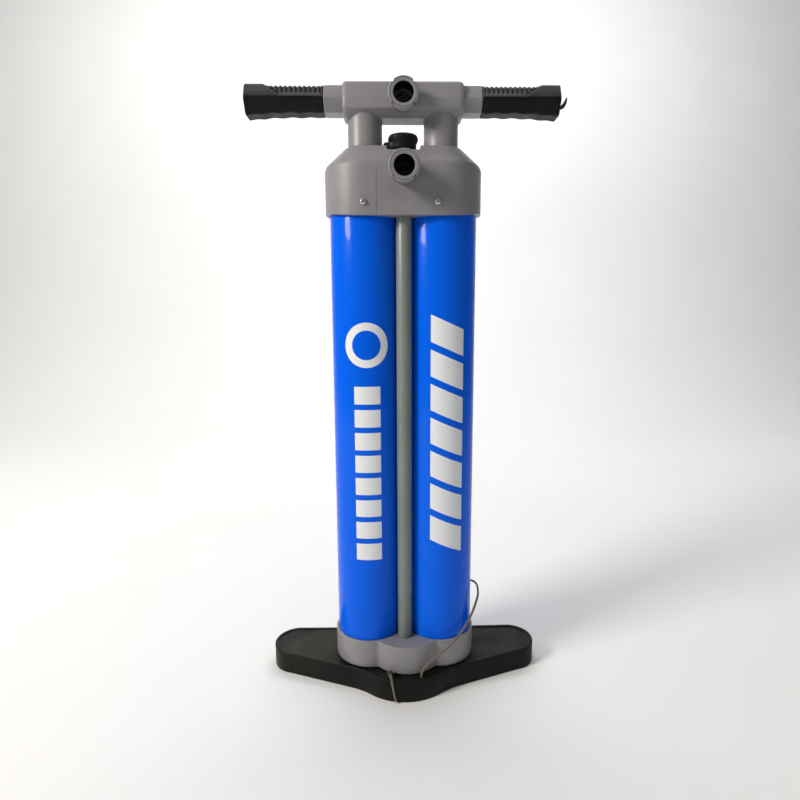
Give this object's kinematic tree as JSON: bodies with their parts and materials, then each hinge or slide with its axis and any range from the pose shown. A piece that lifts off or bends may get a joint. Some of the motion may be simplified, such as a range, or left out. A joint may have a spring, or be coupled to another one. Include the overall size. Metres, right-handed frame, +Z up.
{
  "type": "twin-barrel hand inflation pump",
  "caption": "Stand-up hand pump: paired blue barrels on a winged black foot plate, with a grey head, a hose port on head and handle, twin piston shafts and a T-handle with rubber grips.",
  "frame": {"origin": "on the floor, midway between the two barrel axes", "axes": "+Z up along the barrels, +X to the right grip, -Y to the front, where both hose ports point"},
  "size_m": [0.3263, 0.1703, 0.64],
  "materials": {
    "grey_plastic": "satin",
    "blue_barrel": "gloss",
    "grey_tube": "satin",
    "black_plastic": "satin",
    "black_rubber": "matte",
    "steel": "satin",
    "white_nylon": "satin",
    "tan_cord": "matte",
    "dark_cord": "matte"
  },
  "bodies": {
    "pump_body": {"foot_plate": "black_plastic", "foot_screw_1": "steel", "foot_screw_2": "steel", "foot_screw_3": "steel", "foot_screw_4": "steel", "base_manifold": "grey_plastic", "barrel_left": "blue_barrel", "barrel_right": "blue_barrel", "bottom_gasket_left": "black_rubber", "bottom_gasket_right": "black_rubber", "top_gasket_left": "black_rubber", "top_gasket_right": "black_rubber", "bottom_valve_left": "black_rubber", "bottom_valve_right": "black_rubber", "top_valve_left": "black_rubber", "top_valve_right": "black_rubber", "transfer_tube": "grey_tube", "tube_gasket_bottom": "black_rubber", "tube_gasket_top": "black_rubber", "pump_head": "grey_plastic", "head_screw_front_left": "steel", "head_screw_front_right": "steel", "head_screw_rear_left": "steel", "head_screw_rear_right": "steel", "deflate_port": "grey_plastic", "shaft_bush_left": "white_nylon", "shaft_bush_right": "white_nylon", "shaft_seal_left": "black_rubber", "shaft_seal_right": "black_rubber", "leash_bridge": "tan_cord", "leash_cord": "tan_cord", "leash_coil": "tan_cord", "leash_knot": "dark_cord", "leash_tail": "tan_cord", "leash_end_knot": "tan_cord"},
    "handle": {"handle_body": "grey_plastic", "inflate_port": "grey_plastic", "grip_left": "black_rubber", "grip_right": "black_rubber", "grip_tail": "dark_cord", "shaft_left": "grey_plastic", "shaft_right": "grey_plastic", "piston_left": "white_nylon", "piston_right": "white_nylon", "piston_seal_left": "black_rubber", "piston_seal_right": "black_rubber", "piston_bolt_left": "steel", "piston_bolt_right": "steel"},
    "selector": {"selector_knob": "black_plastic", "selector_spindle": "white_nylon"}
  },
  "joints": [
    {"name": "handle_slide", "type": "slide", "parent": "pump_body", "child": "handle", "axis": [0, 0, 1], "range_m": [0, 0.48]},
    {"name": "selector_turn", "type": "hinge", "parent": "pump_body", "child": "selector", "pos_m": [0, 0, 0.574], "axis": [0, 0, 1], "range_deg": [0, 90]}
  ]
}
